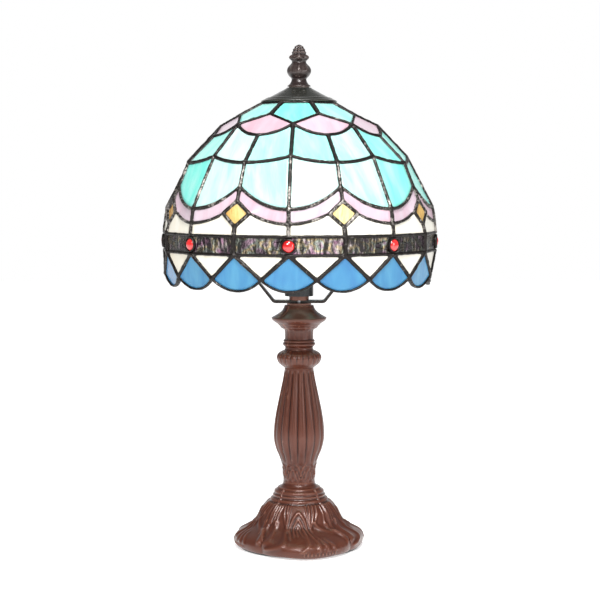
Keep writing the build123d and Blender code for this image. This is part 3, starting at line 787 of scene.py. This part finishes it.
def carve(fronts, heights, lines, mm_per_degree):
    """Raised lines on a casting: each is (height, width, points), points being (degrees, z)."""
    total = np.zeros_like(fronts)
    for rise, width, points in lines:
        near = np.full_like(fronts, 1e3)
        path = curve_through(points, 4)
        for p, q in zip(path, path[1:]):
            ax, az = p.x * mm_per_degree, p.y
            bx, bz = q.x * mm_per_degree - ax, q.y - az
            x, z = fronts * mm_per_degree - ax, heights - az
            share = np.clip((x * bx + z * bz) / max(bx * bx + bz * bz, 1e-9), 0.0, 1.0)
            near = np.minimum(near, np.hypot(x - share * bx, z - share * bz))
        total += rise * np.exp(-(near / width) ** 2)
    return total


def make_column():
    outer = [
        (11.7, 48.0), (11.7, 48.0), (11.5, 50.2), (11.5, 54.0), (11.8, 58.0), (12.5, 61.6),
        (12.5, 61.6), (13.4, 63.4), (15.1, 67.9), (17.0, 72.3), (18.4, 77.6), (18.9, 83.0),
        (18.4, 90.0), (17.1, 99.0), (15.3, 108.0), (13.4, 117.0), (11.8, 124.6), (10.9, 130.2),
        (10.7, 132.8), (10.7, 132.8),
    ]

    def relief(front, z):
        flute = np.abs(np.sin(np.radians(8.0 * (front + 3.6))))
        fluted = smooth_step(61.8, 65.0, z) * (1.0 - smooth_step(128.8, 131.8, z))
        depth = 0.5 + 1.05 * smooth_step(62.0, 74.0, z) - 0.55 * smooth_step(95.0, 128.0, z)
        out = -depth * (1.0 - flute) ** 1.5 * fluted
        out += 0.16 * fluted * smooth_step(84.0, 92.0, z) * (bump(flute, 0.72, 0.06) + bump(flute, 0.93, 0.05))
        neck = smooth_step(48.4, 50.6, z) * (1.0 - smooth_step(60.0, 62.4, z))
        side = (front - 6.0 + 30.0) % 60.0 - 30.0
        leaves = [
            (0.75, 1.0, [(-15, 61.6), (-8, 60.2), (-2, 57.0), (0, 54.0)]),
            (0.75, 1.0, [(15, 61.6), (8, 60.2), (2, 57.0), (0, 54.0)]),
            (0.60, 0.8, [(-14, 56.5), (-8, 54.0), (-3, 50.8)]),
            (0.60, 0.8, [(14, 56.5), (8, 54.0), (3, 50.8)]),
            (0.50, 0.9, [(-30, 58.5), (-22, 56.0), (-16, 51.5)]),
            (0.50, 0.9, [(30, 58.5), (22, 56.0), (16, 51.5)]),
        ]
        out += carve(side, z, leaves, 0.22) * smooth_step(48.2, 50.0, z)
        return out + 0.22 * neck * waves(side * 18.0) * waves(z * 40.0)

    inner = [
        (5.2, 132.8), (5.2, 128.0), (7.0, 126.0), (13.0, 99.6), (14.6, 82.0), (9.0, 62.0),
        (8.4, 52.0), (5.2, 51.0), (5.2, 48.0),
    ]
    piece = relief_turning("fluted_column", outer, inner, BRONZE, relief, 384, 10)
    belongs(piece, "base", "bronze_paint", "column_casting")


def make_collar():
    outer = [
        (10.7, 132.9), (10.7, 132.9), (12.6, 134.4), (15.0, 136.4), (16.2, 138.8), (16.6, 141.0),
        (15.4, 143.6), (12.6, 145.4), (10.9, 146.0), (10.9, 146.0), (10.4, 147.0), (10.3, 148.2),
        (10.3, 148.2),
    ]

    def relief(front, z):
        lobe = np.abs(np.sin(np.radians(11.0 * (front + 6.0))))
        return -0.9 * (1.0 - lobe) ** 1.5 * bump(z, 140.8, 3.6)

    piece = relief_turning("gadroon_ring", outer, [(5.2, 148.2), (5.2, 132.9)], BRONZE, relief, 360)
    belongs(piece, "base", "bronze_paint", "gadroon_collar")


def make_capital():
    outer = [
        (10.3, 148.3), (10.3, 148.3), (11.0, 149.0), (12.0, 150.2), (11.9, 151.2), (11.0, 152.0),
        (11.0, 152.0), (11.6, 152.8), (11.2, 153.7), (10.5, 154.2), (10.5, 154.2), (10.4, 157.2),
        (10.6, 160.4), (11.2, 161.6), (11.2, 161.6), (13.2, 162.6), (14.0, 163.7), (14.0, 163.7),
        (15.6, 165.2), (16.2, 165.9), (16.2, 165.9), (18.6, 167.4), (20.0, 168.8), (20.4, 169.9),
        (20.4, 169.9), (19.8, 170.5), (16.8, 172.2), (13.6, 174.4), (11.7, 176.6), (10.7, 179.2),
        (10.7, 179.2),
    ]

    def relief(front, z):
        return 0.08 * waves(20.0 * front) * smooth_step(153.5, 156.0, z) * (1.0 - smooth_step(163.5, 165.0, z))

    piece = relief_turning("column_capital", outer, [(5.2, 179.2), (5.2, 148.3)], BRONZE, relief, 300)
    belongs(piece, "base", "bronze_paint", "capital_casting")


# The foot's leaves repeat in panels this many degrees wide.
PANEL = 90.0
# Raised lines of one foot panel: (height, width, [(degrees from the panel's middle, z)...]) in millimetres.
PANEL_LINES = [
    (1.10, 1.3, [(-45, 46), (-45, 38), (-44.5, 27), (-46, 17), (-50, 9)]),
    (0.50, 0.7, [(-40, 38), (-41, 27), (-42, 21)]),
    (0.50, 0.7, [(-34, 38), (-37, 28), (-38, 22)]),
    (0.50, 0.7, [(-28, 38), (-33, 28), (-34, 20)]),
    (0.75, 1.1, [(-21, 38), (-19, 28), (-15.5, 17)]),
    (0.60, 0.8, [(-26, 38), (-24, 28), (-17.5, 19)]),
    (0.50, 0.7, [(-15, 38), (-16, 28), (-17, 22)]),
    (0.80, 1.0, [(-14, 14), (-12, 21), (-8, 26), (-2, 29), (4, 26), (8, 21), (9, 14)]),
    (0.65, 0.8, [(-9, 15), (-7.5, 20), (-2.5, 24.5), (3, 20), (4, 15)]),
    (0.50, 0.8, [(-5, 15), (-4, 18), (-2.5, 19.6), (-1, 18), (0, 15)]),
    (0.50, 0.7, [(9, 38), (10.5, 28), (12.5, 20)]),
    (0.75, 1.1, [(17, 38), (15, 28), (13.5, 17)]),
    (0.60, 0.8, [(24, 38), (21, 28), (15.5, 20)]),
    (0.50, 0.7, [(32, 38), (28, 29), (21, 22)]),
    (0.50, 0.7, [(38, 38), (38, 28), (36, 21)]),
    (1.00, 1.5, [(-33, 22), (-33, 17), (-37, 11.5), (-48, 7.5)]),
    (0.90, 1.4, [(-18, 17), (-20, 13), (-26, 9), (-40, 5)]),
    (0.90, 1.3, [(20, 22), (25, 18.5), (33, 16), (40, 15)]),
    (1.00, 1.5, [(38, 20), (40, 16), (44, 11.5), (50, 9)]),
    (0.90, 1.3, [(4, 17), (2, 12.5), (-3, 8.5), (-7, 5.5)]),
    (0.60, 1.0, [(9, 12), (7, 8), (6, 6)]),
    (0.60, 1.0, [(14, 13), (14, 8), (14, 6)]),
    (0.60, 1.0, [(19, 12.5), (21, 8), (22, 6)]),
]


def make_foot():
    outer = [
        (45.2, 0.9), (45.2, 0.9), (46.6, 1.8), (47.6, 4.2), (47.4, 7.0), (46.0, 9.6), (43.6, 11.4),
        (38.6, 14.0), (34.6, 16.4), (32.0, 19.4), (29.8, 23.6), (27.6, 28.0), (24.8, 31.4),
        (21.8, 34.4), (19.8, 36.6), (18.9, 38.6), (18.0, 40.8), (16.6, 42.6), (14.0, 44.4),
        (12.2, 46.0), (11.7, 47.9), (11.7, 47.9),
    ]
    inner = [
        (5.2, 47.9), (5.2, 43.2), (10.0, 42.8), (15.0, 37.0), (22.0, 28.0), (27.0, 15.6),
        (36.0, 7.6), (40.0, 4.4), (40.0, 1.2), (44.0, 0.9),
    ]

    def in_panel(front, z):
        """How far down the rim a point is, and its degrees from its panel's middle, which drifts at the rim."""
        rim = 1.0 - smooth_step(8.0, 19.0, z)
        middle = 1.0 + 9.0 * rim
        return rim, (front - middle + PANEL / 2) % PANEL - PANEL / 2

    def relief(front, z):
        rim, side = in_panel(front, z)
        edge = np.abs(side) / (PANEL / 2)
        lines = carve(side, z, PANEL_LINES, 0.52) + carve(side - PANEL, z, PANEL_LINES[:1], 0.52)
        rings = 0.55 * (bump(z, 43.6, 0.5) + bump(z, 41.2, 0.9) + bump(z, 38.4, 0.55) + bump(z, 35.6, 0.7))
        rings -= 0.5 * bump(z, 34.0, 0.6)
        seam = 0.9 * smooth_step(0.88, 1.0, edge) * (1.0 - smooth_step(42.0, 45.0, z))
        seam *= smooth_step(33.0, 36.0, z)
        row = smooth_step(-8.0, -5.0, side) * (1.0 - smooth_step(21.0, 24.0, side))
        beads = bump(z, 4.0, 1.0) * np.maximum(waves(side * 120.0), 0.0) * row
        out = lines * (1.0 - smooth_step(32.8, 35.0, z)) * smooth_step(3.0, 6.0, z)
        out += rings * (1.0 - smooth_step(0.85, 1.0, edge)) + seam
        out += 0.3 * rim * waves(side * 7.0) * (1.0 - edge ** 4)
        return out + 0.7 * beads

    def lobes(front, z):
        rim, side = in_panel(front, z)
        edge = np.abs(side) / (PANEL / 2)
        front_and_back = bump((front + 82.0) % 180.0 - 90.0, 0.0, 38.0)
        return rim * (5.6 * front_and_back - 2.7 * edge ** 4)

    piece = relief_turning("leafy_foot", outer, inner, BRONZE, relief, 720, 6, lobes)
    belongs(piece, "base", "bronze_paint", "foot_casting")


# ---- cap and finial --------------------------------------------------------

def make_cap():
    outer = [
        (27.0, 327.9), (27.0, 327.9), (27.7, 328.1), (27.8, 328.7), (27.2, 329.3), (27.2, 329.3),
        (25.2, 330.2), (24.0, 331.0), (22.9, 331.4), (22.9, 331.4), (22.2, 331.3), (21.2, 331.8),
        (21.2, 331.8), (16.4, 334.3), (11.0, 337.2), (9.2, 338.3), (8.6, 338.6), (3.4, 338.6),
        (3.4, 338.6),
    ]
    inner = [(3.4, 337.7), (8.4, 337.6), (20.0, 331.3), (25.6, 328.5)]
    vents = 12

    def relief(front, z):
        turn = front % (360.0 / vents) - 180.0 / vents
        return -0.75 * (1.0 - smooth_step(0.7, 1.0, np.hypot(turn / 4.0, (z - 335.4) / 0.6)))

    piece = relief_turning("vented_cap", outer, inner, CAP_BRONZE, relief, 480)
    belongs(piece, "shade", "bronze_paint", "vase_cap")


def make_finial():
    outer = [
        (8.5, 339.5), (8.5, 339.5), (8.3, 340.2), (7.0, 341.2), (5.9, 342.8), (5.4, 344.6),
        (5.8, 345.6), (5.8, 345.6), (7.2, 347.0), (8.3, 349.0), (8.5, 351.0), (7.6, 353.4),
        (6.1, 355.4), (5.2, 356.8), (5.4, 358.0), (6.7, 359.8), (6.6, 361.4), (5.2, 362.6),
        (5.0, 363.6), (4.4, 365.4), (3.4, 367.4), (2.0, 369.2), (0.3, 369.9), (0.3, 369.9),
    ]

    def relief(front, z):
        scales = waves(front * 4.0 + z * 86.0) * waves(front * 4.0 - z * 86.0)
        cone = 0.45 * scales * smooth_step(362.0, 363.0, z) * (1.0 - smooth_step(367.6, 369.8, z))
        scrolls = 0.75 * waves(front * 5.0) * bump(z, 360.4, 1.5)
        petals = 0.6 * (np.abs(waves(front * 4.0)) - 0.5 + 0.2 * waves(front * 16.0)) * bump(z, 352.6, 3.0)
        return cone + scrolls + petals

    inner = [(0.2, 348.5), (3.05, 348.4), (3.05, 339.5)]
    piece = relief_turning("leafy_finial", outer, inner, FINIAL_BRONZE, relief, 240)
    belongs(piece, "finial", "bronze_paint", "finial")


# ---- carried-over CAD nodes ------------------------------------------------

def dress(material, *nodes):
    """Give CAD nodes a detailed material."""
    for node in nodes:
        piece = CAD_NODES[node]
        piece.data.materials.clear()
        piece.data.materials.append(material)


def make_fittings():
    dress(felt(), "felt_pad")
    dress(plain_metal("zinc_plate", (0.55, 0.56, 0.58), 0.34),
          "bottom_cover", "threaded_tube", "clamp_nut", "clamp_washer")
    dress(plain_metal("turned_brass", (0.70, 0.47, 0.20), 0.24),
          "harp_stud", "stud_nuts", "holder_screw_shell", "centre_contact", "terminal_screws")
    dress(FINIAL_BRONZE, "shade_support_ring", "rest_washer", "finial_washer")
    dress(moulded("black_bakelite", (0.010, 0.010, 0.011), 0.32),
          "holder_base", "holder_shell", "cable_inlet_sleeve")
    dress(moulded("white_steatite", (0.72, 0.70, 0.66), 0.5), "holder_core")
    dress(plain_metal("harp_paint", (0.035, 0.026, 0.022), 0.3, 0.5), "harp_strip")
    dress(BRONZE, "harp_locknut", "capital_washer")
    dress(lit_bulb(), "bulb_envelope")
    dress(plain_metal("bulb_aluminium", (0.72, 0.72, 0.74), 0.28), "bulb_screw_cap", "bulb_eyelet")
    dress(moulded("black_vitrite", (0.012, 0.012, 0.016), 0.15), "bulb_insulator")
    dress(moulded("stem_glass", (0.55, 0.60, 0.60), 0.08), "bulb_stem")
    dress(plain_metal("tungsten", (0.45, 0.42, 0.38), 0.4), "bulb_filament")


# ---- stage -----------------------------------------------------------------

def make_stage():
    s = Shader("pale_floor")
    grain = s.noise(30.0, 2.0, 0.5, s.object_space())
    s.set(Base_Color=s.ramp(grain, (0.3, grey(0.84)), (0.7, grey(0.86))), Roughness=0.95)
    position = s.add("NewGeometry").outputs["Position"]
    nearness = s.add("TexGradient", {"gradient_type": "SPHERICAL"}, Vector=position).outputs["Fac"]
    s.set(Emission_Color=(1.0, 1.0, 1.0, 1.0))
    s.set(Emission_Strength=s.ramp(nearness, (0.1, grey(0.9)), (0.7, grey(0.56))))
    corners = [(x, y, -0.0005) for x, y in ((-3, -3), (3, -3), (3, 3), (-3, 3))]
    floor = mesh_object("floor", corners, [[0, 1, 2, 3]], s.material)


def make_world():
    """Grey all round, so that the edges of dark pieces stay dark, and white in the part behind the lamp."""
    world = bpy.data.worlds.new("studio")
    bpy.context.scene.world = world
    world.use_nodes = True
    tree = world.node_tree
    direction = tree.nodes.new("ShaderNodeTexCoord")
    axes = tree.nodes.new("ShaderNodeSeparateXYZ")
    ramp = tree.nodes.new("ShaderNodeValToRGB")
    for element, position, level in zip(ramp.color_ramp.elements, (0.80, 0.97), (0.26, 1.0)):
        element.position = position
        element.color = (*grey(level), 1.0)
    tree.links.new(direction.outputs["Generated"], axes.inputs[0])
    tree.links.new(axes.outputs["Y"], ramp.inputs["Fac"])
    tree.links.new(ramp.outputs["Color"], tree.nodes["Background"].inputs["Color"])
    tree.nodes["Background"].inputs["Strength"].default_value = 1.0


def add_light(name, kind, at, power):
    lamp = bpy.data.lights.new(name, kind)
    lamp.energy = power
    holder = bpy.data.objects.new(name, lamp)
    bpy.context.collection.objects.link(holder)
    holder.location = at
    return holder


def aim(holder, target):
    """Turn a light or a camera to face a point."""
    holder.rotation_euler = (Vector(target) - holder.location).to_track_quat("-Z", "Y").to_euler()


def area_light(name, at, towards, size, power):
    holder = add_light(name, "AREA", at, power)
    holder.data.shape, holder.data.size = "DISK", size
    aim(holder, towards)


def make_lights():
    area_light("key", (-0.35, -1.1, 0.8), (0, 0, 0.2), 0.3, 7.5)
    area_light("overhead", (0.06, -0.66, 0.95), (0, 0, 0.04), 0.3, 11.5)
    area_light("fill", (0.9, -0.8, 0.45), (0, 0, 0.16), 0.5, 3.8)
    area_light("top", (0.0, 0.1, 1.3), (0, 0, 0.2), 0.6, 3.0)
    low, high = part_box("bulb_envelope")
    above_bulb = ((low[0] + high[0]) / 2, (low[1] + high[1]) / 2, high[2] + 0.012)
    glow = add_light("bulb_glow", "POINT", above_bulb, 0.25).data
    glow.shadow_soft_size, glow.color = 0.02, (1.0, 0.93, 0.82)


def make_camera():
    camera = bpy.data.cameras.new("camera")
    camera.lens, camera.sensor_width = 97.8, 36.0
    holder = bpy.data.objects.new("camera", camera)
    bpy.context.collection.objects.link(holder)
    holder.location = (0.0007, -1.2, 0.275)
    aim(holder, (0.0007, 0.0, 0.183))
    bpy.context.scene.camera = holder
    bpy.context.scene.view_settings.view_transform = "Standard"


make_camera()
make_stage()
make_world()
make_lights()
make_glass()
make_solder()
make_jewels()
make_column()
make_collar()
make_capital()
make_foot()
make_cap()
make_finial()
make_fittings()
